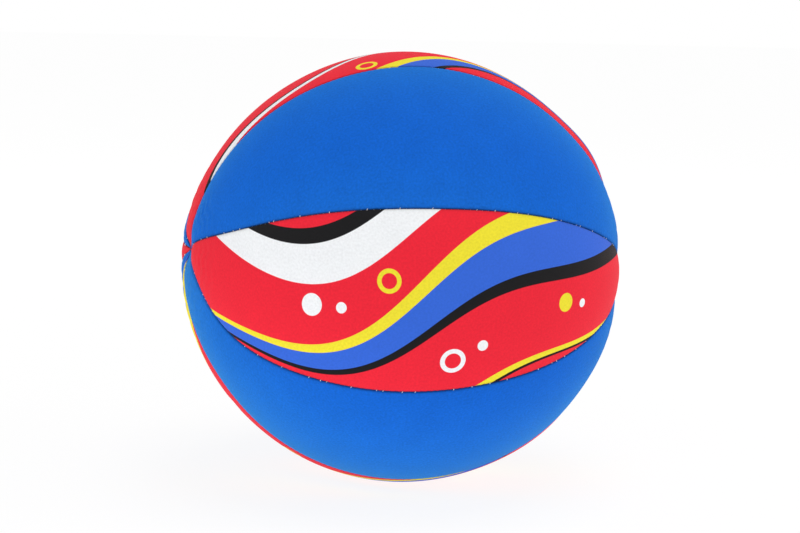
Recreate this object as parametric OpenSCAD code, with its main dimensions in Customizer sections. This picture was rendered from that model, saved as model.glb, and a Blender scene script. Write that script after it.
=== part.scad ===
// Inflatable play ball with a sewn foam-rubber cover: eight pole-to-pole panels,
// machine-stitched seams, a rubber bladder and a self-closing needle valve.
// The centre of the ball is the origin. The seams run between two poles on the X axis,
// the front panel faces -Y and the valve sits in the rear panel, on +Y.

/* [Ball] */
// Outside diameter of the inflated ball
ball_d = 220; // [200:1:245]
// Thickness of the foam-rubber cover
cover_t = 2.5; // [2.2:0.1:4]

/* [Seams] */
// Radius of the rolled edge where a panel turns in to a seam
roll_r = 2.2; // [2:0.1:3]
// Depth of the valley between two panels
valley_depth = 1.3; // [1.1:0.1:1.8]
// Height by which the roll's circle stands over the panel, which leaves a faint crease at its edge
roll_rise = 0.05; // [0.03:0.01:0.1]
// Thickness of each turned-in seam allowance, squeezed by its stitches
allowance_t = 2; // [1.5:0.1:2.5]
// Depth of the seam allowances below the inside of the cover
allowance_depth = 3; // [2:0.1:5]
// Angle from each pole at which the seam allowances are trimmed away
allowance_trim = 14; // [8:1:25]

/* [Stitches] */
// Diameter of the sewing thread
thread_d = 0.5; // [0.4:0.05:0.7]
// Stitch length along a seam
stitch_pitch = 3; // [2.5:0.1:5]
// Depth of a stitch's middle below the cover's surface
stitch_depth = 0.3; // [0.25:0.05:0.5]
// Gap between a stitch's end and the roll that it enters
stitch_gap = 0.03; // [0.02:0.01:0.06]
// Length of each seam next to a pole that shows no stitches
stitch_start = 9; // [8:1:20]

/* [Bladder] */
// Wall of the bladder
bladder_t = 1; // [0.8:0.1:2]
// Gap between the bladder and the seam allowances
bladder_gap = 0.3; // [0.2:0.05:0.5]

/* [Valve] */
// Diameter of the valve stem
stem_d = 10; // [9.5:0.5:13]
// Gap round the stem where it passes through the cover and the bladder
stem_gap = 0.4; // [0.3:0.1:0.8]
// Depth of the stem's face below the cover's surface
stem_recess = 0.6; // [0.4:0.1:1.2]
// Radius of the rounded edge of the stem's face
stem_round = 0.8; // [0.3:0.1:1]
// Length of the stem inside the bladder
stem_inside = 8; // [6:0.5:12]
// Diameter of the valve's flange on the bladder
flange_d = 34; // [28:1:42]
// Thickness of the flange at the stem
flange_t = 1.6; // [1.2:0.1:1.9]
// Thickness of the flange at its edge
flange_edge_t = 0.5; // [0.3:0.1:0.8]
// Thickness of the adhesive between the flange and the bladder
bond_t = 0.1; // [0.05:0.05:0.2]

/* [Valve core] */
// Diameter of the core's head
core_head_d = 6.6; // [6:0.1:7.5]
// Height of the core's head
core_head_h = 1.6; // [1.2:0.1:2]
// Radius of the rounded edge of the core's head
core_head_round = 0.5; // [0.2:0.1:0.8]
// Diameter of the core's shank
core_shank_d = 4.6; // [4.2:0.1:5]
// Diameter of the core's inner bulb
core_bulb_d = 7; // [6:0.1:8]
// Length of the core's inner bulb
core_bulb_h = 4.5; // [3.5:0.5:6]
// Gap round the core in its seat
core_gap = 0.1; // [0.05:0.05:0.2]

/* [Needle] */
// Diameter of the inflating needle
needle_d = 2; // [1.6:0.1:2.2]
// Gap round the needle in the core
needle_gap = 0.1; // [0.06:0.02:0.2]
// Depth to which the core guides the needle
needle_depth = 9; // [6:0.5:11]
// Mouth diameter of the funnel that leads the needle in
funnel_d = 3.6; // [3:0.1:4]
// Height of that funnel
funnel_h = 0.8; // [0.5:0.1:1.2]

/* [Hidden] */
panel_names = [
    "front_panel", "upper_front_panel", "top_panel", "upper_rear_panel",
    "rear_panel", "lower_rear_panel", "bottom_panel", "lower_front_panel"
];
// A seam's thread comes after the panel below it in the same order
thread_names = [
    "front_upper_seam_thread", "top_front_seam_thread", "top_rear_seam_thread", "rear_upper_seam_thread",
    "rear_lower_seam_thread", "bottom_rear_seam_thread", "bottom_front_seam_thread", "front_lower_seam_thread"
];

panel_count = len(panel_names);
panel_angle = 360 / panel_count;
rear = panel_count / 2;

ball_r = ball_d / 2;
inside_r = ball_r - cover_t;
allowance_r = inside_r - allowance_depth;
bladder_r = allowance_r - bladder_gap;

// An allowance starts inside the panel, half way between the valley's bottom and the inner face
allowance_root = (inside_r + ball_r - valley_depth) / 2;

// A roll's circle has its centre below the panel and short of its own radius from the seam's plane,
// so the two circles of a seam cross at the valley's bottom
roll_centre = ball_r - roll_r + roll_rise;
roll_side = sqrt(roll_r^2 - (roll_r - roll_rise - valley_depth)^2);

stem_face = ball_r - stem_recess;
stem_end = bladder_r - bladder_t - stem_inside;
core_bore_d = core_shank_d + 2 * core_gap;
core_seat = stem_face - core_head_h;
bulb_top = stem_end - core_gap;
bulb_tip_d = core_shank_d - core_gap;

stitch_r = ball_r - stitch_depth;
stitch_half = valley_half(stitch_depth + thread_d / 2) - stitch_gap;
stitch_step = stitch_pitch / ball_r * 180 / PI;
stitch_first = stitch_start / ball_r * 180 / PI;
stitch_count = floor((180 - 2 * stitch_first) / stitch_step) + 1;

// Past every surface that a cut passes through
over = 1;

blue = [0.11, 0.41, 0.82];
red = [0.95, 0.17, 0.23];
white = [0.95, 0.95, 0.93];
black = [0.12, 0.12, 0.13];
grey = [0.55, 0.56, 0.58];

$fn = 96;
small_fn = 24;

// Half the width of a seam's valley at a depth below the cover's surface
function valley_half(depth) = roll_side - sqrt(roll_r^2 - (roll_r - roll_rise - depth)^2);

// Turns a shape made about the Z axis so that its poles lie on X and its angle 0 faces -Y
module between_poles() {
    rotate([90, 0, -90]) children();
}

// Turns a shape made along the Z axis to the valve's place, on +Y
module at_valve() {
    rotate([-90, 0, 0]) children();
}

// The half of a disc on the positive side of the axis of revolution
module half_disc(r) {
    intersection() {
        circle(r);
        translate([0, -r - over]) square([r + over, 2 * (r + over)]);
    }
}

// Shell between two radii, over one panel's angle
module panel_shell() {
    rotate([0, 0, -panel_angle / 2]) rotate_extrude(angle = panel_angle) difference() {
        half_disc(ball_r);
        half_disc(inside_r);
    }
}

// Ring that cuts the two rolled edges of one seam, along its whole great circle
module valley_cutter() {
    rotate([90, 0, 0]) rotate_extrude() difference() {
        translate([ball_r - roll_r, -roll_side]) square([roll_r + over, 2 * roll_side]);
        for (side = [-1, 1]) translate([roll_centre, side * roll_side]) circle(roll_r, $fn = small_fn);
    }
}

// Turned-in edge of a panel on one of its two seams: an arc on the seam's plane, clear of the poles
module allowance(side) {
    sector_x = ball_r;
    sector_y = sector_x / tan(allowance_trim);
    rotate([0, 0, side * panel_angle / 2])
        rotate([90, 0, 0])
            translate([0, 0, side > 0 ? 0 : -allowance_t])
                linear_extrude(allowance_t) intersection() {
                    difference() {
                        circle(allowance_root);
                        circle(allowance_r);
                    }
                    polygon([[0, 0], [sector_x, -sector_y], [sector_x, sector_y]]);
                }
}

// One panel of the cover, with its rolled edges and seam allowances
module panel(i) {
    color(i % 2 == 0 ? red : blue) difference() {
        between_poles() rotate([0, 0, i * panel_angle]) {
            difference() {
                union() {
                    panel_shell();
                    allowance(-1);
                    allowance(1);
                }
                for (side = [-1, 1]) rotate([0, 0, side * panel_angle / 2]) valley_cutter();
            }
        }
        if (i == rear) at_valve() cylinder(h = ball_r + over, d = stem_d + 2 * stem_gap, $fn = small_fn);
    }
}

// The stitches of the seam above panel i: one short length of thread across the valley for each
module seam_thread(i) {
    spread = (stitch_count - 1) * stitch_step;
    color(white) between_poles() rotate([0, 0, (i + 0.5) * panel_angle])
        for (k = [0 : stitch_count - 1]) rotate([0, 90 - spread / 2 + k * stitch_step, 0])
            translate([0, 0, stitch_r]) rotate([90, 0, 0])
                cylinder(h = 2 * stitch_half, d = thread_d, center = true, $fn = small_fn);
}

// Hollow rubber sphere with the hole that the valve's stem passes through
module bladder() {
    color(black) difference() {
        sphere(bladder_r);
        sphere(bladder_r - bladder_t);
        at_valve() cylinder(h = bladder_r + over, d = stem_d + 2 * stem_gap, $fn = small_fn);
    }
}

// Profile of the flange: it follows the bladder below and thins towards its edge above
module flange_profile() {
    under_r = bladder_r + bond_t;
    top = under_r + flange_t;
    edge = sqrt((under_r + flange_edge_t)^2 - (flange_d / 2)^2);
    drop = top - edge;
    crown_r = ((flange_d / 2)^2 + drop^2) / (2 * drop);
    intersection() {
        difference() {
            translate([0, top - crown_r]) circle(crown_r);
            circle(under_r);
        }
        translate([0, under_r / 2]) square([flange_d / 2, under_r]);
    }
}

// Moulded plug along the Z axis, with a rounded upper edge
module rounded_plug(h, d, edge_r) {
    rotate_extrude() {
        square([d / 2 - edge_r, h]);
        square([d / 2, h - edge_r]);
        translate([d / 2 - edge_r, h - edge_r]) circle(edge_r, $fn = small_fn);
    }
}

// Rubber housing of the valve: stem, bonded flange and the stepped bore that holds the core
module valve_seat() {
    color(black) at_valve() difference() {
        union() {
            translate([0, 0, stem_end]) rounded_plug(stem_face - stem_end, stem_d, stem_round);
            rotate_extrude() flange_profile();
        }
        translate([0, 0, stem_end - over])
            cylinder(h = stem_face - stem_end + 2 * over, d = core_bore_d, $fn = small_fn);
        translate([0, 0, core_seat - core_gap])
            cylinder(h = core_head_h + core_gap + over, d = core_head_d + 2 * core_gap, $fn = small_fn);
    }
}

// Soft plug that closes round the needle's path: head, shank, inner bulb with a round tip, guide bore
module valve_core() {
    bore_d = needle_d + 2 * needle_gap;
    color(grey) at_valve() difference() {
        union() {
            translate([0, 0, core_seat]) rounded_plug(core_head_h, core_head_d, core_head_round);
            translate([0, 0, bulb_top - over])
                cylinder(h = core_seat - bulb_top + 2 * over, d = core_shank_d, $fn = small_fn);
            translate([0, 0, bulb_top - core_bulb_h])
                cylinder(h = core_bulb_h, d1 = bulb_tip_d, d2 = core_bulb_d, $fn = small_fn);
            translate([0, 0, bulb_top - core_bulb_h]) sphere(d = bulb_tip_d, $fn = small_fn);
        }
        translate([0, 0, stem_face - needle_depth])
            cylinder(h = needle_depth + over, d = bore_d, $fn = small_fn);
        translate([0, 0, stem_face - funnel_h])
            cylinder(h = funnel_h, d1 = bore_d, d2 = funnel_d, $fn = small_fn);
    }
}

for (i = [0 : panel_count - 1]) {
    panel(i);
    seam_thread(i);
}
bladder();
valve_seat();
valve_core();
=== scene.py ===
import bpy
import numpy as np
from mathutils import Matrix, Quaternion, Vector


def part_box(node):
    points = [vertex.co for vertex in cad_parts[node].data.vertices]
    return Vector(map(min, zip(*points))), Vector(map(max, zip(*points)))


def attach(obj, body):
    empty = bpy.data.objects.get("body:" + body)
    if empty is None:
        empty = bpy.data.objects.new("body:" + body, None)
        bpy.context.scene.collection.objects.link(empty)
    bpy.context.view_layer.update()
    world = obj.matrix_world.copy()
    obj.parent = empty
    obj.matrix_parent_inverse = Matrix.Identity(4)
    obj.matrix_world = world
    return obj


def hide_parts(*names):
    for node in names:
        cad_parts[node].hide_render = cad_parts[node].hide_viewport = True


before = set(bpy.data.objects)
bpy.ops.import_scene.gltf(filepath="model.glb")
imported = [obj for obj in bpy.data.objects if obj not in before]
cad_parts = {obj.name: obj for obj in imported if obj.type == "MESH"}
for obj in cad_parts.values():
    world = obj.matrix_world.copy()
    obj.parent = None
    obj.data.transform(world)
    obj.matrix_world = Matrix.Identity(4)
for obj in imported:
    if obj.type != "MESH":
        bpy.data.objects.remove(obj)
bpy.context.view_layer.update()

# The ball's panels in order, from the front one up over the top and round the back. The first one and every
# second one after it are printed, and the others are blue. A thread holds the seam between the panel of the
# same place in the list and the next panel.
PANELS = [
    "front_panel", "upper_front_panel", "top_panel", "upper_rear_panel",
    "rear_panel", "lower_rear_panel", "bottom_panel", "lower_front_panel",
]
THREADS = [
    "front_upper_seam_thread", "top_front_seam_thread",
    "top_rear_seam_thread", "rear_upper_seam_thread",
    "rear_lower_seam_thread", "bottom_rear_seam_thread",
    "bottom_front_seam_thread", "front_lower_seam_thread",
]
REAR = PANELS.index("rear_panel")

# The ball. Lengths are in metres here and below, except where a comment says millimetres.
MM = 0.001
BALL_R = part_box("top_panel")[1][2]
PANEL_ANGLE = 2 * np.pi / len(PANELS)
GIRTH_SHARE = 0.995
LEFT_STRETCH = 0.027
RIGHT_STRETCH = 0.012
STRETCH_POWER = 6
POLE_RISE = np.radians(5.8)
POLE_FORWARD = np.radians(9.3)
POLE_DRIFT_REACH = np.radians(26.5)
# Its soft bulges and flats: polar angle and turn in degrees, height in millimetres, reach in degrees
BULGES = [
    (148, 84, 2.2, 11),
    (60, 103, -1.05, 32),
    (26, 260, -0.9, 25),
    (131, 285, 1.4, 16),
    (30, 111, -1.1, 15),
    (169, 335, -0.95, 12),
]

# A panel's section: its cover, its rolled edge and the turned-in allowance. Where the panel is narrow, the
# limits hold the last two to a share of its half width.
COVER_T = 2.5 * MM
SEAM_SLIT = 0.02 * MM
ROLL_R = 1.0 * MM
ROLL_LIMIT = 0.7
ALLOWANCE_T = 2.0 * MM
ALLOWANCE_LIMIT = 0.6
ALLOWANCE_DEPTH = 2.6 * MM

# A panel's face: its crown, its ends at the poles, the pull of the stitches and the wrinkles
CROWN = 0.5 * MM
CROWN_NEAR_POLES = 1.1 * MM
CROWN_PLACE = 0.55 * BALL_R
CROWN_SPREAD = 0.3 * BALL_R
CROWN_LIMIT = 0.08
POLE_GAP = 0.4 * MM
POLE_DIP = 2.2 * MM
POLE_DIP_REACH = 9 * MM
PUCKER = 0.16 * MM
PUCKER_REACH = 1.6 * MM
WRINKLE = 0.14 * MM
WRINKLE_PLACE = 30 * MM
WRINKLE_SPREAD = 16 * MM
WRINKLE_PITCH = 7.5 * MM
WRINKLE_SWAY = 1.5 * MM
SWAY_BENDS = 9
SWAY_STEP = 2.3

# The seams, beside their even places: one value for each seam. The waves of the wander are share, waves in a
# full turn and phase step from seam to seam.
SEAM_SHIFTS = np.array([-0.9, 5.8, 0, 0, 0, 0, -0.9, -2.4]) * MM
SEAM_LEANS = np.array([1.0, 4.0, 0, 0, 0, 0, -8.0, -5.8]) * MM
SEAM_BUNCHING = np.radians([0, 0, 40, 18, 0, -28, -55, 0]) * BALL_R
BUNCHING_REACH = np.radians(18)
WANDER = 0.3 * MM
WANDER_WAVES = [(1, 3, 1.7), (0.6, 7, 2.9)]

# The valve's hole in the rear panel
HOLE_R = 5.4 * MM
HOLE_ROLL = 0.6 * MM
HOLE_REACH = 3

# The stitches: most are pulled deep into the valley. Lifts are in millimetres.
STITCH_SEED = 11
STITCH_PITCH = 3.0 * MM
STITCH_START = 9.0 * MM
STITCH_HALF = 0.8 * MM
STITCH_SAG = 0.7 * MM
STITCH_SLANTS = (0.1, 0.5)
STITCH_TO_BLUE = 0.25 * MM
DEEP_SHARE = 0.7
DEEP_LIFT = -1.0
SHALLOW_LIFTS = (-0.6, -0.3)
THREAD_R = 0.22 * MM
THREAD_TIP = 0.4
PLY_MEAN = 0.88
PLY_SWELL = 0.16
PLY_TWIST = 1.4

# How the panels are cut from the roll of cloth: the first one's place on it, and the step to the next one's
CLOTH_START = np.array([-8, 0]) * MM
CLOTH_STEP = np.array([139, -25]) * MM

# The knit jersey: loops, flecks per metre, relief and finish, and the painted shade in the seams' folds
JERSEY_LOOP = 0.7 * MM
LOOP_HEIGHT = 0.5
FLECK_HEIGHT = 1.5
FINE_FLECKS = 900
COARSE_FLECKS = 70
FLECK_DETAIL = 3
FINE_SHARE = 0.8
JERSEY_BUMP = 0.35
JERSEY_RELIEF = 0.06 * MM
JERSEY_FINISH = {
    "Roughness": 0.82,
    "Specular IOR Level": 0.08,
    "Sheen Weight": 0.25,
    "Sheen Roughness": 0.4,
}
FOLD_REACH = 0.45 * MM
FOLD_SHADE = 0.75
FOLD_SHADE_COLOUR = (0.004, 0.006, 0.016, 1)

# The blue dye with painted light and shade: its most shaded and its most lit colour, how the slow wave of
# painted light and shade turns along and across the cloth, in radians per metre, where the wave starts, and
# the clouds of uneven dye in it
SHADED_BLUE = (0.005, 0.125, 0.63, 1)
LIT_BLUE = (0.016, 0.2, 0.645, 1)
BLUE_SHEEN = (0.1, 0.65, 0.55, 1)
BLUE_UNEVEN = 0.8
SHADING_TURN = (2.9, 27, 0)
SHADING_START = 5.2
CLOUD_SCALE = 18
CLOUD_DETAIL = 2
CLOUD_SHARE = 0.1

# The print: its wave with a ripple on it, its step across the cloth, its slant, its soft edge and its inks
WAVE_L = 250 * MM
WAVE_H = 14 * MM
RIPPLE_H = 0.3 * WAVE_H
RIPPLE_START = 1
PRINT_STEP = 150 * MM
PRINT_SLANT = np.radians(12)
PRINT_EDGE = 0.15 * MM
PRINT_SHEEN = (0.3, 0.2, 0.2, 1)
PRINT_UNEVEN = 0.35
INKS = {
    "red": (0.88, 0.023, 0.044, 1),
    "yellow": (0.90, 0.78, 0.04, 1),
    "violet": (0.04, 0.145, 0.70, 1),
    "white": (0.92, 0.94, 0.96, 1),
    "black": (0.012, 0.012, 0.013, 1),
}
# Ribbons: ink, then place across, middle and half width in millimetres, swell and phase. Those of one place
# swell together.
RIBBONS = [
    ("black", 3, -10, 2.3, 0.7, 0.2),
    ("violet", 3, -1, 7, 0.7, 0.2),
    ("yellow", 3, 9.5, 3.5, 0.7, 0.2),
    ("white", 50, -2, 5.5, 0.65, 2),
    ("black", 50, 5.5, 2.2, 0.65, 2),
    ("yellow", -52, 2, 4.5, 0.7, 4),
    ("black", -52, -4.6, 2.2, 0.7, 4),
]
# Bubbles: ink, then place along, place from the wave, radius and radius of the hole, in millimetres
BUBBLES = [
    ("white", -65, 29, 5, 0),
    ("white", -51, 26, 2.5, 0),
    ("yellow", -27, 26.5, 5.5, 3.5),
    ("white", -5, -28, 6, 3.8),
    ("white", 10, -31, 2.6, 0),
    ("yellow", 59, -28, 4.6, 0),
    ("white", 71, -31, 2.2, 0),
]

# Plain finishes: darker and lighter colour, roughness, grains per metre and relief
GRAIN_DETAIL = 4
GRAIN_BUMP = 0.4
PLAIN_FINISHES = {
    "sewing_thread": ((0.72, 0.72, 0.70, 1), (0.9, 0.9, 0.88, 1), 0.7, 3000, 0.05 * MM),
    "bladder_rubber": ((0.010, 0.010, 0.011, 1), (0.02, 0.02, 0.021, 1), 0.5, 200, 0.05 * MM),
    "valve_rubber": ((0.014, 0.014, 0.015, 1), (0.026, 0.026, 0.028, 1), 0.55, 900, 0.04 * MM),
    "core_rubber": ((0.24, 0.24, 0.25, 1), (0.32, 0.32, 0.33, 1), 0.5, 900, 0.04 * MM),
}
INNER_PIECES = {"bladder": "bladder_rubber", "valve_seat": "valve_rubber", "valve_core": "core_rubber"}

# Counts of points along a panel's path and round its section, round the valve's hole and on a stitch
RINGS_PER_STITCH = 6
BARE_PITCHES = 5
FACE_POINTS = 49
ROLL_POINTS = 7
WALL_POINTS = 3
EDGE_POINTS = ROLL_POINTS + WALL_POINTS + 1
INSIDE_POINTS = 13
HOLE_COLUMNS = 3
HOLE_RINGS = 11
HOLE_LOOPS = 5
STITCH_STEPS = 5
STITCH_SIDES = 6

# The lit table under the ball: its rings, its colours, the light that it gives, and what it shows of its own
# to the camera, near the ball and far from it
FLOOR_RINGS = 24
FLOOR_SIDES = 96
FLOOR_FIRST_RING = 0.02
FLOOR_GROWTH = 1.4
FLOOR_COLOUR = (0.85, 0.85, 0.85, 1)
FLOOR_SEEN_COLOUR = (0.12, 0.12, 0.12, 1)
FLOOR_GLOW = 0.5
FLOOR_NEAR = 2 * BALL_R
FLOOR_FAR = 12 * BALL_R
FLOOR_WHITE_NEAR = 0.9
FLOOR_WHITE_FAR = 0.94

# The light from all round, and the lamps: place, size and watts
ROOM_LIGHT = 0.4
LAMPS = {
    "top_light": ((0.3, -0.3, 2.0), 1.2, 19),
    "right_light": ((1.8, -0.4, 0.9), 0.8, 6),
    "low_left_light": ((-1.3, -0.8, 0.05), 0.3, 4),
}

# The photograph's view: angles in degrees, the lens in millimetres, and the shift in pixels over the image's
# width
CAMERA_AZIMUTH = -8.5
CAMERA_ELEVATION = 7.8
CAMERA_ROLL = 1.2
CAMERA_DISTANCE = 8 * BALL_R
CAMERA_LENS = 77.3
IMAGE_W = 800
FRAME_SHIFT = -1.9 / IMAGE_W

stitch_count = int((np.pi * BALL_R - 2 * STITCH_START) / STITCH_PITCH) + 1
stitch_first = (np.pi * BALL_R - (stitch_count - 1) * STITCH_PITCH) / 2
ring_count = RINGS_PER_STITCH * (stitch_count + BARE_PITCHES) + 1


# Meshes


def strip_quads(loops):
    """Quads between neighbouring loops of point numbers: each takes a point, the next one in its loop, and
    the same two in the next loop."""
    near, far = loops, np.roll(loops, -1, axis=1)
    return np.stack([near[:-1], far[:-1], far[1:], near[1:]], axis=-1).reshape(-1, 4)


def grid_quads(rows, columns):
    """Quads of a whole grid of points whose last column joins its first."""
    return strip_quads(np.arange(rows * columns).reshape(rows, columns))


def fan_triangles(ring, centre):
    """Triangles that close a ring of point numbers with one centre point."""
    return np.stack([np.roll(ring, -1), ring, np.full(len(ring), centre)], axis=-1)


def signed_volume(points, triangles):
    """Sum of the tetrahedra between the origin and each triangle; it is negative where faces point
    inwards."""
    a, b, c = (points[triangles[:, k]] for k in range(3))
    return np.einsum("ij,ij->", a, np.cross(b, c)) / 6


def add_piece(name, points, quads, triangles, material, uv=None, seam_gap=None):
    """A smooth mesh object from arrays, with its faces turned outwards, a flat-cloth map and the
    distance of each point from the nearest seam."""
    halves = np.concatenate([quads[:, [0, 1, 2]], quads[:, [0, 2, 3]], triangles])
    if signed_volume(points, halves) < 0:
        quads, triangles = quads[:, ::-1], triangles[:, ::-1]
    used, corners = np.unique(np.concatenate([quads.ravel(), triangles.ravel()]), return_inverse=True)
    corners = corners.astype(np.int32)
    sizes = np.concatenate([np.full(len(quads), 4), np.full(len(triangles), 3)])
    mesh = bpy.data.meshes.new(name)
    mesh.vertices.add(len(used))
    mesh.vertices.foreach_set("co", points[used].astype(np.float32).ravel())
    mesh.loops.add(len(corners))
    mesh.loops.foreach_set("vertex_index", corners)
    mesh.polygons.add(len(sizes))
    mesh.polygons.foreach_set("loop_start", (np.cumsum(sizes) - sizes).astype(np.int32))
    mesh.polygons.foreach_set("use_smooth", np.ones(len(sizes), bool))
    if uv is not None:
        layer = mesh.uv_layers.new(name="cloth")
        layer.data.foreach_set("uv", uv[used][corners].astype(np.float32).ravel())
    if seam_gap is not None:
        attribute = mesh.attributes.new("seam_gap", "FLOAT", "POINT")
        attribute.data.foreach_set("value", seam_gap[used].astype(np.float32))
    mesh.update(calc_edges=True)
    mesh.validate()
    mesh.materials.append(material)
    piece = bpy.data.objects.new(name, mesh)
    bpy.context.scene.collection.objects.link(piece)
    return piece


# Cover


def round_points(radius, polar, turn):
    """Points of a round ball: the polar angle runs from the left pole to the right one, and the turn about
    the poles' axis starts at the front and goes up."""
    return np.stack(np.broadcast_arrays(
        -radius * np.cos(polar),
        -radius * np.sin(polar) * np.cos(turn),
        radius * np.sin(polar) * np.sin(turn),
    ), axis=-1)


def on_ball(radius, polar, turn):
    """Points of the sewn ball. It is a little longer towards its poles, by a power of the cosine, and has
    soft bulges, which fade as a bell curve of the angle from their middles. The left pole is sewn off the
    axis, up and to the front, by a turn that fades away from the pole."""
    stretch = np.where(np.cos(polar) > 0, LEFT_STRETCH, RIGHT_STRETCH) * np.cos(polar) ** STRETCH_POWER
    points = round_points(GIRTH_SHARE + stretch, polar, turn)
    swell = 0
    for at_polar, at_turn, height, reach in BULGES:
        middle = round_points(1, *np.radians([at_polar, at_turn]))
        angle = np.arccos(np.clip(points @ middle / np.linalg.norm(points, axis=-1), -1, 1))
        swell = swell + height * MM / BALL_R * np.exp(-((angle / np.radians(reach)) ** 2))
    points = points * (radius * (1 + swell))[..., None]
    x, y, z = np.moveaxis(points, -1, 0)
    fade = np.exp(-((polar / POLE_DRIFT_REACH) ** 2))
    rise, forward = POLE_RISE * fade, POLE_FORWARD * fade
    x, z = x * np.cos(rise) + z * np.sin(rise), z * np.cos(rise) - x * np.sin(rise)
    x, y = x * np.cos(forward) - y * np.sin(forward), y * np.cos(forward) + x * np.sin(forward)
    return np.stack([x, y, z], axis=-1)


def pole_distance(from_left):
    """Way along the ball to the nearer pole, from the way to the left one."""
    return np.minimum(from_left, np.pi * BALL_R - from_left)


def seam_wander(k, polar):
    """Sideways drift of a hand-guided seam from its even place: a fixed shift, a lean from one pole to the
    other, a bunching next to the left pole, which fades as a bell curve, and two sines of the polar angle,
    all nothing at the poles."""
    k = k % len(SEAM_SHIFTS)
    drift = sum(share * np.sin(waves * polar + step * k) for share, waves, step in WANDER_WAVES)
    bunching = SEAM_BUNCHING[k] * np.exp(-((polar / BUNCHING_REACH) ** 2))
    return (SEAM_SHIFTS[k] + SEAM_LEANS[k] * np.cos(polar) + bunching + WANDER * drift) * np.sin(polar)


def crown_swell(from_pole, half):
    """Height of a panel's middle over its edges: more on the way to the poles, by a bell curve, and little
    where the panel is narrow."""
    swell = CROWN + CROWN_NEAR_POLES * np.exp(-(((from_pole - CROWN_PLACE) / CROWN_SPREAD) ** 2))
    return np.minimum(swell, CROWN_LIMIT * half)


def face_relief(i, from_left, half, sideways):
    """Height of panel i's face over the plain ball: the crown, a parabola across the panel, less the pull of
    the stitches, a cosine along the seam that fades away from it, and shallow wrinkles across the panel near
    the poles, a sine along it that sways."""
    from_pole = pole_distance(from_left)
    gap = half - np.abs(sideways)
    share = sideways / half
    crown = crown_swell(from_pole, half) * (0.5 - share**2)
    sewn = np.clip((from_pole - STITCH_START) / STITCH_START, 0, 1)
    pull = 0.5 + 0.5 * np.cos(2 * np.pi * (from_left - stitch_first) / STITCH_PITCH)
    pucker = PUCKER * sewn * pull * np.exp(-gap / PUCKER_REACH)
    near_pole = np.exp(-(((from_pole - WRINKLE_PLACE) / WRINKLE_SPREAD) ** 2))
    sway = from_pole + WRINKLE_SWAY * np.sin(SWAY_BENDS * share + SWAY_STEP * i)
    wrinkle = WRINKLE * near_pole * (1 - share**2) * np.sin(2 * np.pi * sway / WRINKLE_PITCH + i)
    return crown - pucker + wrinkle


def panel_section(inside_points):
    """Closed loop round a panel's section, as weights of its measures in columns: half width less the
    roll, roll radius sideways, roll radius down, cover thickness down, allowance thickness sideways and
    allowance depth down. It runs over the face, down a quarter-circle roll and the seam's wall, round the
    turned-in allowance, back along the inside and up the other edge."""
    face = np.linspace(-1, 1, FACE_POINTS)[:, None] * [1, 0, 0, 0, 0, 0]
    bend = np.linspace(0, np.pi / 2, ROLL_POINTS + 1)[1:, None]
    flat = np.zeros_like(bend)
    roll = np.hstack([flat + 1, np.sin(bend), 1 - np.cos(bend), flat, flat, flat])
    fall = np.linspace(0, 1, WALL_POINTS + 1)[1:, None]
    wall = np.hstack([fall * 0 + 1, fall * 0 + 1, 1 - fall, fall, fall * 0, fall])
    foot = np.array([[1, 1, 0, 1, -1, 1]])
    inside = np.linspace(1, -1, inside_points)[:, None] * [1, 1, 0, 0, -1, 0] + [0, 0, 0, 1, 0, 0]
    edge = np.vstack([roll, wall, foot])
    mirrored = edge[::-1] * [-1, -1, 1, 1, -1, 1]
    return np.vstack([face, edge, inside, mirrored])


def round_off(along, sideways):
    """Moves the points round the valve's hole: the square block of cells that the hole takes becomes a
    circle, and so do the squares round it, less and less, by a smooth step, as far as HOLE_REACH times its
    size."""
    block_along = HOLE_RINGS * (np.pi * BALL_R - 2 * POLE_GAP) / (ring_count - 1)
    block_across = HOLE_COLUMNS * (BALL_R * PANEL_ANGLE / 2 - ROLL_R) / (FACE_POINTS // 2)
    size = np.maximum(np.abs(along) / block_along, np.abs(sideways) / block_across)
    radius = (HOLE_R + HOLE_ROLL) * size
    far = np.maximum(np.hypot(along, sideways), np.finfo(float).tiny)
    share = np.clip((HOLE_REACH - size) / (HOLE_REACH - 1), 0, 1)
    share = share**2 * (3 - 2 * share)
    scale = 1 + share * (radius / far - 1)
    return along * scale, sideways * scale


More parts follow.
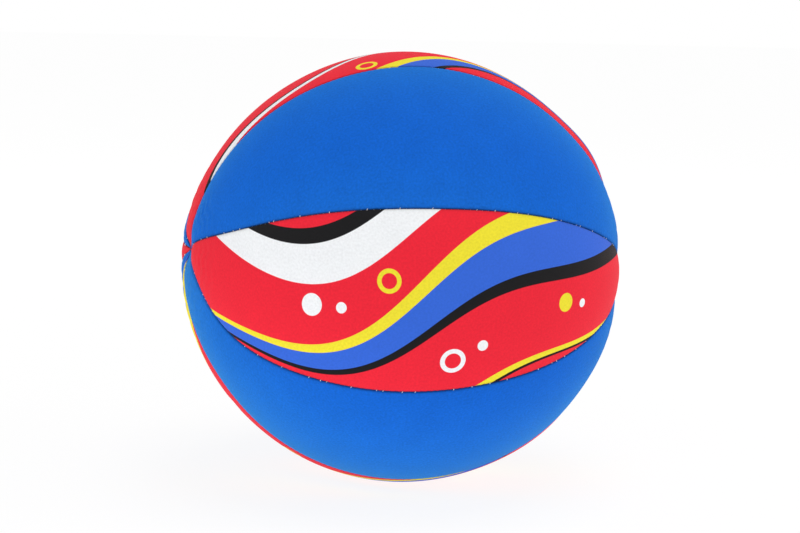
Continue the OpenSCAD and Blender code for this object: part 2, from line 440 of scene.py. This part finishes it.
def panel_arrays(i, inside_points):
    """The skin of panel i: its section's loop carried from pole to pole, as wide as the gore at each
    polar angle. The face has its relief, all of it dips at the poles, as a bell curve, and its edges follow
    the drift of the two seams. Gives the points, their places on the flat cloth and their distances from the
    nearer seam."""
    polar = np.linspace(POLE_GAP / BALL_R, np.pi - POLE_GAP / BALL_R, ring_count)[:, None]
    across, side_roll, down_roll, down_cover, side_fold, down_fold = panel_section(inside_points).T
    half = BALL_R * np.sin(polar) * PANEL_ANGLE / 2 - SEAM_SLIT
    roll = np.minimum(ROLL_R, ROLL_LIMIT * half)
    fold_t = np.minimum(ALLOWANCE_T, ALLOWANCE_LIMIT * half)
    fold_depth = ALLOWANCE_DEPTH * np.clip((half - ALLOWANCE_T) / (2 * ALLOWANCE_T), 0, 1)
    sideways = across * (half - roll) + side_roll * roll + side_fold * fold_t
    depth = down_roll * roll + down_cover * COVER_T + down_fold * fold_depth

    from_left = BALL_R * polar
    dip = POLE_DIP * np.exp(-((pole_distance(from_left) / POLE_DIP_REACH) ** 2))
    outer = 1 - down_cover
    radius = BALL_R - depth - dip + outer * face_relief(i, from_left, half, sideways)

    gap = np.maximum(half - np.abs(sideways), 0)
    lower, upper = seam_wander(i - 1, polar), seam_wander(i, polar)
    drift = lower + (upper - lower) * (sideways / half + 1) / 2
    along, sideways = np.broadcast_arrays(from_left - np.pi / 2 * BALL_R, sideways)
    if i == REAR:
        along, sideways = round_off(along, sideways)
    polar = np.pi / 2 + along / BALL_R
    turn = i * PANEL_ANGLE + (sideways + drift) / (BALL_R * np.sin(polar))
    cloth = np.stack([along, sideways], axis=-1) + CLOTH_START + CLOTH_STEP * i
    return on_ball(radius, polar, turn), cloth, gap


def hole_edges(columns):
    """Numbers of the grid points round the block of cells that the valve's hole takes, in order, on the face
    and on the inside below it, and a mask of the cells that stay."""
    top, bottom = ring_count // 2 + np.array([-1, 1]) * HOLE_RINGS
    left, right = FACE_POINTS // 2 + np.array([-1, 1]) * HOLE_COLUMNS
    long, wide = bottom - top, right - left
    ring = np.concatenate([
        np.full(wide, top), np.arange(top, bottom), np.full(wide, bottom), np.arange(bottom, top, -1),
    ])
    column = np.concatenate([
        np.arange(left, right), np.full(long, right), np.arange(right, left, -1), np.full(long, left),
    ])
    last_inside = FACE_POINTS + EDGE_POINTS + FACE_POINTS - 1
    stay = np.ones((ring_count - 1, columns), bool)
    stay[top:bottom, left:right] = False
    stay[top:bottom, last_inside - right:last_inside - left] = False
    return ring * columns + column, ring * columns + last_inside - column, stay.ravel()


def rim_points(edge, edge_cloth):
    """Loops of points from the hole's edge on the face: each goes down and inwards along a quarter circle,
    and on the cloth as far inwards as the circle is long."""
    axis = edge.mean(axis=0)
    axis = axis / np.linalg.norm(axis)
    outward = edge - np.outer(edge @ axis, axis)
    outward = outward / np.linalg.norm(outward, axis=1)[:, None]
    outward_cloth = edge_cloth - edge_cloth.mean(axis=0)
    outward_cloth = outward_cloth / np.linalg.norm(outward_cloth, axis=1)[:, None]
    bend = np.linspace(0, np.pi / 2, HOLE_LOOPS + 1)[1:, None, None]
    points = edge - HOLE_ROLL * ((1 - np.cos(bend)) * axis + np.sin(bend) * outward)
    return points, edge_cloth - HOLE_ROLL * bend * outward_cloth


def add_panel(i, material):
    """Panel i as a closed skin: the carried loop, with a fan over each end at the poles. The rear panel has
    the valve's hole, whose rolled rim joins the face to the inside."""
    points, cloth, gap = panel_arrays(i, FACE_POINTS if i == REAR else INSIDE_POINTS)
    rings, columns = points.shape[:2]
    quads = grid_quads(rings, columns)
    first, last = np.arange(columns), np.arange(columns) + (rings - 1) * columns
    count = rings * columns
    fans = np.vstack([fan_triangles(first, count), fan_triangles(last[::-1], count + 1)])
    ends = points[[0, -1]].mean(axis=1)
    uv = np.vstack([cloth.reshape(-1, 2), cloth[[0, -1], 0]])
    gaps = np.concatenate([gap.ravel(), [0, 0]])
    points = np.vstack([points.reshape(-1, 3), ends])
    if i == REAR:
        face_edge, inside_edge, stay = hole_edges(columns)
        rim, rim_cloth = rim_points(points[face_edge], uv[face_edge])
        numbers = len(points) + np.arange(rim.size // 3).reshape(rim.shape[:2])
        loops = np.vstack([face_edge, numbers, inside_edge])
        quads = np.vstack([quads[stay], strip_quads(loops)])
        points = np.vstack([points, rim.reshape(-1, 3)])
        uv = np.vstack([uv, rim_cloth.reshape(-1, 2)])
        gaps = np.concatenate([gaps, np.tile(gaps[face_edge], HOLE_LOOPS)])
    piece = add_piece(PANELS[i] + "_cover", points, quads, fans, material, uv, gaps)
    return piece


# Stitches


def stitch_points(k, draws):
    """Points of the stitches of seam k, by stitch, step and side: each is a short bent tube across the
    valley, with two twisted plies, whose ends dive into the rolls. Its line is a parabola over the seam, and
    its round is swollen twice."""
    polar = ((stitch_first + np.arange(stitch_count) * STITCH_PITCH) / BALL_R)[:, None, None]
    turn = (k + 0.5) * PANEL_ANGLE + seam_wander(k, polar) / (BALL_R * np.sin(polar))
    half = BALL_R * np.sin(polar) * PANEL_ANGLE / 2
    edge = -0.5 * crown_swell(pole_distance(BALL_R * polar), half)
    deep = draws.uniform(size=polar.shape) < DEEP_SHARE
    lift = np.where(deep, DEEP_LIFT, draws.uniform(*SHALLOW_LIFTS, polar.shape)) * MM + edge
    slant = draws.uniform(*STITCH_SLANTS, polar.shape)
    t = np.linspace(-1, 1, STITCH_STEPS)[None, :, None]
    angle = np.linspace(0, 2 * np.pi, STITCH_SIDES, endpoint=False)[None, None, :]
    ply = THREAD_R * (PLY_MEAN + PLY_SWELL * np.cos(2 * (angle - PLY_TWIST * t)))
    ply = ply * np.where(np.abs(t) == 1, THREAD_TIP, 1)
    height = lift - STITCH_SAG * t**2 + ply * np.cos(angle)
    along = slant * t * STITCH_HALF + ply * np.sin(angle)
    across = t * STITCH_HALF + STITCH_TO_BLUE * (-1) ** k
    return on_ball(BALL_R + height, polar + along / BALL_R, turn + across / (BALL_R * np.sin(polar)))


def add_stitches(k, material, draws):
    """The stitches of seam k as closed tubes: a grid of points for each, and a fan over each of its
    ends."""
    points = stitch_points(k, draws)
    start = np.arange(stitch_count)[:, None, None] * STITCH_STEPS * STITCH_SIDES
    quads = (grid_quads(STITCH_STEPS, STITCH_SIDES) + start).reshape(-1, 4)
    sides = np.arange(STITCH_SIDES)
    rims = np.stack([sides, (STITCH_STEPS - 1) * STITCH_SIDES + sides[::-1]]) + start
    centres = points[:, [0, -1]].mean(axis=2).reshape(-1, 3)
    points = points.reshape(-1, 3)
    tips = np.broadcast_to(len(points) + np.arange(len(centres)).reshape(-1, 2, 1), rims.shape)
    fans = np.stack([np.roll(rims, -1, axis=2), rims, tips], axis=-1).reshape(-1, 3)
    return add_piece(THREADS[k] + "_stitches", np.vstack([points, centres]), quads, fans, material)


# Shader nodes

FLOAT, VECTOR = "NodeSocketFloat", "NodeSocketVector"


def feed(tree, socket, value):
    """A link into a socket, or a plain value on it."""
    if isinstance(value, bpy.types.NodeSocket):
        tree.links.new(value, socket)
    else:
        socket.default_value = value


def feed_all(tree, node, values):
    """Links or plain values for a node's inputs, by their labels or numbers."""
    for label, value in values.items():
        feed(tree, node.inputs[label], value)


def math(tree, operation, *values):
    """A Math node of that operation; gives its output socket."""
    node = tree.nodes.new("ShaderNodeMath")
    node.operation = operation
    for socket, value in zip(node.inputs, values):
        feed(tree, socket, value)
    return node.outputs[0]


def mix_colour(tree, factor, first, second):
    """The first colour where the factor is 0, the second where it is 1."""
    node = tree.nodes.new("ShaderNodeMix")
    node.data_type = "RGBA"
    feed_all(tree, node, {"Factor": factor, 6: first, 7: second})
    return node.outputs[2]


def noise(tree, place, scale, detail):
    """Soft noise over a place: its largest size is one over the scale, with finer ones on it, as many as
    detail says."""
    node = tree.nodes.new("ShaderNodeTexNoise")
    feed_all(tree, node, {"Vector": place, "Scale": scale, "Detail": detail})
    return node.outputs[0]


def relief(tree, height, strength, distance):
    """The normal of a surface with that height on it."""
    node = tree.nodes.new("ShaderNodeBump")
    feed_all(tree, node, {"Strength": strength, "Distance": distance, "Height": height})
    return node.outputs[0]


def smooth_below(tree, value, limit):
    """1 where the value is below the limit and 0 above it, with a narrow soft edge."""
    node = tree.nodes.new("ShaderNodeMapRange")
    node.interpolation_type = "SMOOTHSTEP"
    feed_all(tree, node, {
        "Value": value,
        "From Min": math(tree, "SUBTRACT", limit, PRINT_EDGE),
        "From Max": math(tree, "ADD", limit, PRINT_EDGE),
        "To Min": 1,
        "To Max": 0,
    })
    return node.outputs["Result"]


def cloth_axes(tree, cloth):
    """The two places on the flat cloth: along the panel and across it."""
    split = tree.nodes.new("ShaderNodeSeparateXYZ")
    feed(tree, split.inputs[0], cloth)
    return split.outputs[0], split.outputs[1]


# Effects on the surfaces, as node groups


def new_group(name, inputs, outputs):
    """A shader node group with float or vector inputs and float outputs: tree, input node, output node."""
    tree = bpy.data.node_groups.new(name, "ShaderNodeTree")
    for label, kind in inputs.items():
        tree.interface.new_socket(label, in_out="INPUT", socket_type=kind)
    for label in outputs:
        tree.interface.new_socket(label, in_out="OUTPUT", socket_type=FLOAT)
    return tree, tree.nodes.new("NodeGroupInput"), tree.nodes.new("NodeGroupOutput")


def place_group(tree, name, values):
    """An effect's group placed in a material with its values; gives its outputs."""
    node = tree.nodes.new("ShaderNodeGroup")
    node.node_tree = GROUPS[name]
    feed_all(tree, node, values)
    return node.outputs


def jersey_group():
    """Knit jersey on foam, on the flat cloth: columns of V-shaped loops, sines of the course and of the
    zigzag of the columns, with flecks on them for the height, and two sizes of flecks for the mottled
    dye."""
    group, given, out = new_group("jersey", {"Cloth": VECTOR, "Loop": FLOAT}, ["Height", "Mottle"])
    along, across = cloth_axes(group, given.outputs["Cloth"])
    column = math(group, "DIVIDE", along, given.outputs["Loop"])
    course = math(group, "DIVIDE", across, given.outputs["Loop"])
    arm = math(group, "PINGPONG", column, 0.5)
    loop = math(group, "SINE", math(group, "MULTIPLY", math(group, "ADD", course, arm), 2 * np.pi))
    groove = math(group, "SINE", math(group, "MULTIPLY", arm, 2 * np.pi))
    knit = math(group, "ADD", math(group, "MULTIPLY", loop, LOOP_HEIGHT), groove)
    fine = noise(group, given.outputs["Cloth"], FINE_FLECKS, FLECK_DETAIL)
    coarse = noise(group, given.outputs["Cloth"], COARSE_FLECKS, FLECK_DETAIL)
    mottle = math(group, "ADD", math(group, "MULTIPLY", fine, FINE_SHARE),
                  math(group, "MULTIPLY", coarse, 1 - FINE_SHARE))
    height = math(group, "ADD", knit, math(group, "MULTIPLY", fine, FLECK_HEIGHT))
    feed_all(group, out, {"Height": height, "Mottle": mottle})
    return group


def fold_group():
    """Painted shade in a seam's fold: full at the seam, and falling off as e to the power of minus the
    distance from it over the reach."""
    group, given, out = new_group("fold_shade", {"Gap": FLOAT, "Reach": FLOAT}, ["Shade"])
    ratio = math(group, "DIVIDE", given.outputs["Gap"], given.outputs["Reach"])
    feed(group, out.inputs["Shade"], math(group, "POWER", np.exp(-1.0), ratio))
    return group


def grain_group():
    """Grain of a moulded or spun material: noise over its place."""
    group, given, out = new_group("grain", {"Place": VECTOR, "Scale": FLOAT}, ["Grain"])
    grain = noise(group, given.outputs["Place"], given.outputs["Scale"], GRAIN_DETAIL)
    feed(group, out.inputs["Grain"], grain)
    return group


def wave_rise(along):
    """Height of the print's wave over its own base line: one sine, and a smaller one of half its length."""
    turn = 2 * np.pi * along / WAVE_L
    return WAVE_H * np.sin(turn) + RIPPLE_H * np.sin(2 * turn + RIPPLE_START)


def print_frame_group():
    """Places on the print: along its slanted base line, across it, and across from the wave itself, whose
    height is that of wave_rise."""
    group, given, out = new_group("print_frame", {"Cloth": VECTOR}, ["Along", "Across", "From Wave"])
    u, v = cloth_axes(group, given.outputs["Cloth"])
    cos, sin = np.cos(PRINT_SLANT), np.sin(PRINT_SLANT)
    along = math(group, "ADD", math(group, "MULTIPLY", u, cos), math(group, "MULTIPLY", v, sin))
    across = math(group, "SUBTRACT", math(group, "MULTIPLY", v, cos), math(group, "MULTIPLY", u, sin))
    turn = math(group, "MULTIPLY", along, 2 * np.pi / WAVE_L)
    wave = math(group, "MULTIPLY", math(group, "SINE", turn), WAVE_H)
    ripple = math(group, "SINE", math(group, "MULTIPLY_ADD", turn, 2, RIPPLE_START))
    rise = math(group, "MULTIPLY_ADD", ripple, RIPPLE_H, wave)
    from_wave = math(group, "SUBTRACT", across, rise)
    feed_all(group, out, {"Along": along, "Across": across, "From Wave": from_wave})
    return group


def ribbon_group():
    """Mask of a ribbon that follows the wave, repeated across the cloth. Its distance from its place and its
    width swell and thin together along it, as a sine, so ribbons of one place stay side by side."""
    labels = ["Along", "From Wave", "Place", "Middle", "Half", "Swell", "Phase"]
    group, given, out = new_group("ribbon", dict.fromkeys(labels, FLOAT), ["Mask"])
    along, from_wave, place, middle, half, swell, phase = (given.outputs[label] for label in labels)
    turn = math(group, "MULTIPLY_ADD", along, np.pi / WAVE_L, phase)
    share = math(group, "MULTIPLY_ADD", math(group, "SINE", turn), swell, 1)
    off = math(group, "SUBTRACT", from_wave, place)
    off = math(group, "WRAP", off, PRINT_STEP / 2, -PRINT_STEP / 2)
    off = math(group, "SUBTRACT", off, math(group, "MULTIPLY", share, middle))
    mask = smooth_below(group, math(group, "ABSOLUTE", off), math(group, "MULTIPLY", share, half))
    feed(group, out.inputs["Mask"], mask)
    return group


def bubble_group():
    """Mask of a disc, or of a ring where it has a hole, repeated along and across the print: what is nearer
    to its middle than the radius and not nearer than the hole's."""
    labels = ["Along", "Across", "At Along", "At Across", "Radius", "Hole"]
    group, given, out = new_group("bubble", dict.fromkeys(labels, FLOAT), ["Mask"])
    along, across, at_along, at_across, radius, hole = (given.outputs[label] for label in labels)
    a = math(group, "WRAP", math(group, "SUBTRACT", along, at_along), WAVE_L / 2, -WAVE_L / 2)
    c = math(group, "WRAP", math(group, "SUBTRACT", across, at_across), PRINT_STEP / 2, -PRINT_STEP / 2)
    squares = math(group, "ADD", math(group, "MULTIPLY", a, a), math(group, "MULTIPLY", c, c))
    far = math(group, "SQRT", squares)
    mask = math(group, "SUBTRACT", smooth_below(group, far, radius), smooth_below(group, far, hole))
    feed(group, out.inputs["Mask"], mask)
    return group


GROUPS = {
    "jersey": jersey_group(),
    "fold": fold_group(),
    "grain": grain_group(),
    "print_frame": print_frame_group(),
    "ribbon": ribbon_group(),
    "bubble": bubble_group(),
}


# Materials


def new_material(name):
    """An empty material, its node tree and its output node."""
    material = bpy.data.materials.new(name)
    material.use_nodes = True
    tree = material.node_tree
    tree.nodes.clear()
    return material, tree, tree.nodes.new("ShaderNodeOutputMaterial")


def blue_dye_and_shading(tree, cloth):
    """Plain blue with painted light and shade: it drifts from shaded to lit in one slow sine wave over the
    roll of cloth, and is a little clouded by uneven dye."""
    turn = tree.nodes.new("ShaderNodeVectorMath")
    turn.operation = "DOT_PRODUCT"
    feed_all(tree, turn, {0: cloth, 1: SHADING_TURN})
    # The slow sine wave is painted light and shade on the blue; the clouds are uneven dye.
    wave = math(tree, "SINE", math(tree, "ADD", turn.outputs["Value"], SHADING_START))
    cloud = noise(tree, cloth, CLOUD_SCALE, CLOUD_DETAIL)
    level = math(tree, "MULTIPLY_ADD", cloud, CLOUD_SHARE, 0.5 - CLOUD_SHARE / 2)
    return mix_colour(tree, math(tree, "MULTIPLY_ADD", wave, 0.5, level), SHADED_BLUE, LIT_BLUE)


def print_dye(tree, cloth):
    """The print: swelling wave ribbons with bubbles between them, on a red ground."""
    along, across, from_wave = place_group(tree, "print_frame", {"Cloth": cloth})
    colour = INKS["red"]
    for ink, place, middle, half, swell, phase in RIBBONS:
        mask = place_group(tree, "ribbon", {
            "Along": along, "From Wave": from_wave, "Place": place * MM, "Middle": middle * MM,
            "Half": half * MM, "Swell": swell, "Phase": phase,
        })
        colour = mix_colour(tree, mask[0], colour, INKS[ink])
    for ink, at, off_wave, radius, hole in BUBBLES:
        mask = place_group(tree, "bubble", {
            "Along": along, "Across": across, "At Along": at * MM,
            "At Across": off_wave * MM + wave_rise(at * MM), "Radius": radius * MM, "Hole": hole * MM,
        })
        colour = mix_colour(tree, mask[0], colour, INKS[ink])
    return colour


def cover_material(name, dye, uneven, sheen):
    """Matt jersey over foam rubber. dye makes the cloth's colour from the tree and the cloth's map, with
    painted light and shade in the blue, and uneven is how far the mottle lightens and darkens it. The colour
    goes dark with painted shade in the seams' folds."""
    material, tree, output = new_material(name)
    shader = tree.nodes.new("ShaderNodeBsdfPrincipled")
    cloth = tree.nodes.new("ShaderNodeUVMap")
    cloth.uv_map = "cloth"
    gap = tree.nodes.new("ShaderNodeAttribute")
    gap.attribute_name = "seam_gap"
    jersey = place_group(tree, "jersey", {"Cloth": cloth.outputs[0], "Loop": JERSEY_LOOP})
    fold = place_group(tree, "fold", {"Gap": gap.outputs["Fac"], "Reach": FOLD_REACH})
    toned = tree.nodes.new("ShaderNodeVectorMath")
    toned.operation = "SCALE"
    shade = math(tree, "MULTIPLY_ADD", jersey["Mottle"], uneven, 1 - uneven / 2)
    feed_all(tree, toned, {0: dye(tree, cloth.outputs[0]), "Scale": shade})
    # Painted shade darkens the colour in the seams' folds.
    dark = math(tree, "MULTIPLY", fold["Shade"], FOLD_SHADE)
    feed_all(tree, shader, JERSEY_FINISH)
    feed_all(tree, shader, {
        "Base Color": mix_colour(tree, dark, toned.outputs[0], FOLD_SHADE_COLOUR),
        "Sheen Tint": sheen,
        "Normal": relief(tree, jersey["Height"], JERSEY_BUMP, JERSEY_RELIEF),
    })
    feed(tree, output.inputs["Surface"], shader.outputs[0])
    return material


def plain_material(name, low, high, roughness, grains, height):
    """A moulded or spun material: two close colours mottled by its grain, which is in its relief too."""
    material, tree, output = new_material(name)
    shader = tree.nodes.new("ShaderNodeBsdfPrincipled")
    place = tree.nodes.new("ShaderNodeTexCoord")
    grain = place_group(tree, "grain", {"Place": place.outputs["Object"], "Scale": grains})[0]
    feed_all(tree, shader, {
        "Base Color": mix_colour(tree, grain, low, high),
        "Roughness": roughness,
        "Normal": relief(tree, grain, GRAIN_BUMP, height),
    })
    feed(tree, output.inputs["Surface"], shader.outputs[0])
    return material


# Stage


def seen_ray(tree):
    """1 on the rays that show the background, straight or by way of a gloss or a glass, and 0 on the
    others."""
    paths = tree.nodes.new("ShaderNodeLightPath")
    mirrored = math(tree, "MAXIMUM", paths.outputs["Is Glossy Ray"], paths.outputs["Is Transmission Ray"])
    return math(tree, "MAXIMUM", paths.outputs["Is Camera Ray"], mirrored)


def join_shaders(tree, kind, values):
    """A Mix Shader or Add Shader node with its values; gives its output socket."""
    node = tree.nodes.new(kind)
    feed_all(tree, node, values)
    return node.outputs[0]


def diffuse(tree, colour):
    """A matt shader of that colour."""
    node = tree.nodes.new("ShaderNodeBsdfDiffuse")
    feed(tree, node.inputs["Color"], colour)
    return node.outputs[0]


def floor_material():
    """A pale lit table. It shows nearly white to the camera, a little more so far from the ball, and keeps
    the ball's shadow, and it is clear from below."""
    material, tree, output = new_material("pale_floor")
    seen = seen_ray(tree)
    place = tree.nodes.new("ShaderNodeTexCoord")
    far = tree.nodes.new("ShaderNodeVectorMath")
    far.operation = "LENGTH"
    feed(tree, far.inputs[0], place.outputs["Object"])
    shown = tree.nodes.new("ShaderNodeMapRange")
    feed_all(tree, shown, {
        "Value": far.outputs["Value"],
        "From Min": FLOOR_NEAR,
        "From Max": FLOOR_FAR,
        "To Min": FLOOR_WHITE_NEAR,
        "To Max": FLOOR_WHITE_FAR,
    })
    glow = tree.nodes.new("ShaderNodeEmission")
    more = math(tree, "SUBTRACT", shown.outputs[0], FLOOR_GLOW)
    feed(tree, glow.inputs["Strength"], math(tree, "MULTIPLY_ADD", seen, more, FLOOR_GLOW))
    matt = join_shaders(tree, "ShaderNodeMixShader", {
        0: seen, 1: diffuse(tree, FLOOR_COLOUR), 2: diffuse(tree, FLOOR_SEEN_COLOUR),
    })
    lit = join_shaders(tree, "ShaderNodeAddShader", {0: matt, 1: glow.outputs[0]})
    side = tree.nodes.new("ShaderNodeNewGeometry")
    clear = tree.nodes.new("ShaderNodeBsdfTransparent")
    sided = join_shaders(tree, "ShaderNodeMixShader", {
        0: side.outputs["Backfacing"], 1: lit, 2: clear.outputs[0],
    })
    feed(tree, output.inputs["Surface"], sided)
    return material


def add_floor():
    """A wide round floor under the ball: rings of growing radius round a middle point. add_piece turns its
    faces away from the origin, which is down, so they are turned back."""
    radius = (FLOOR_FIRST_RING * FLOOR_GROWTH ** np.arange(FLOOR_RINGS))[:, None]
    angle = np.linspace(0, 2 * np.pi, FLOOR_SIDES, endpoint=False)
    x, y = radius * np.cos(angle), radius * np.sin(angle)
    points = np.stack([x, y, np.full_like(x, -BALL_R)], axis=-1).reshape(-1, 3)
    fan = fan_triangles(np.arange(FLOOR_SIDES), len(points))
    points = np.vstack([points, [[0, 0, -BALL_R]]])
    floor = add_piece("floor", points, grid_quads(FLOOR_RINGS, FLOOR_SIDES), fan, floor_material())
    floor.data.flip_normals()


def add_lamp(name, place, size, watts):
    """A square soft lamp that points at the ball."""
    lamp = bpy.data.lights.new(name, "AREA")
    lamp.shape = "SQUARE"
    lamp.size = size
    lamp.energy = watts
    holder = bpy.data.objects.new(name, lamp)
    holder.location = place
    holder.rotation_mode = "QUATERNION"
    holder.rotation_quaternion = (-Vector(place)).to_track_quat("-Z", "Y")
    bpy.context.scene.collection.objects.link(holder)


def set_room():
    """Even light from all round, which shows as white."""
    world = bpy.data.worlds.new("studio")
    bpy.context.scene.world = world
    world.use_nodes = True
    tree = world.node_tree
    tree.nodes.clear()
    output = tree.nodes.new("ShaderNodeOutputWorld")
    white = tree.nodes.new("ShaderNodeBackground")
    level = math(tree, "MULTIPLY_ADD", seen_ray(tree), 1 - ROOM_LIGHT, ROOM_LIGHT)
    feed_all(tree, white, {"Color": (1, 1, 1, 1), "Strength": level})
    feed(tree, output.inputs["Surface"], white.outputs[0])


def add_camera():
    """The photograph's view: a negative azimuth is left of the front, and the roll tips the picture."""
    azimuth, elevation, roll = np.radians([CAMERA_AZIMUTH, CAMERA_ELEVATION, CAMERA_ROLL])
    back = Vector((
        np.sin(azimuth) * np.cos(elevation),
        -np.cos(azimuth) * np.cos(elevation),
        np.sin(elevation),
    ))
    data = bpy.data.cameras.new("photo_view")
    data.lens = CAMERA_LENS
    data.shift_x = FRAME_SHIFT
    camera = bpy.data.objects.new("photo_view", data)
    camera.location = back * CAMERA_DISTANCE
    camera.rotation_mode = "QUATERNION"
    camera.rotation_quaternion = (-back).to_track_quat("-Z", "Y") @ Quaternion((0, 0, 1), roll)
    bpy.context.scene.collection.objects.link(camera)
    bpy.context.scene.camera = camera


# The scene

blue_cover = cover_material("blue_jersey", blue_dye_and_shading, BLUE_UNEVEN, BLUE_SHEEN)
printed_cover = cover_material("printed_jersey", print_dye, PRINT_UNEVEN, PRINT_SHEEN)
plain = {name: plain_material(name, *finish) for name, finish in PLAIN_FINISHES.items()}

for i, name in enumerate(PANELS):
    piece = add_panel(i, blue_cover if i % 2 else printed_cover)
    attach(piece, "root")
    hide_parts(name)

draws = np.random.default_rng(STITCH_SEED)
for k, name in enumerate(THREADS):
    piece = add_stitches(k, plain["sewing_thread"], draws)
    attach(piece, "root")
    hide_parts(name)

for name, finish in INNER_PIECES.items():
    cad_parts[name].data.materials.clear()
    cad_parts[name].data.materials.append(plain[finish])

add_floor()
set_room()
for name, lamp in LAMPS.items():
    add_lamp(name, *lamp)
add_camera()
bpy.context.scene.view_settings.view_transform = "Standard"
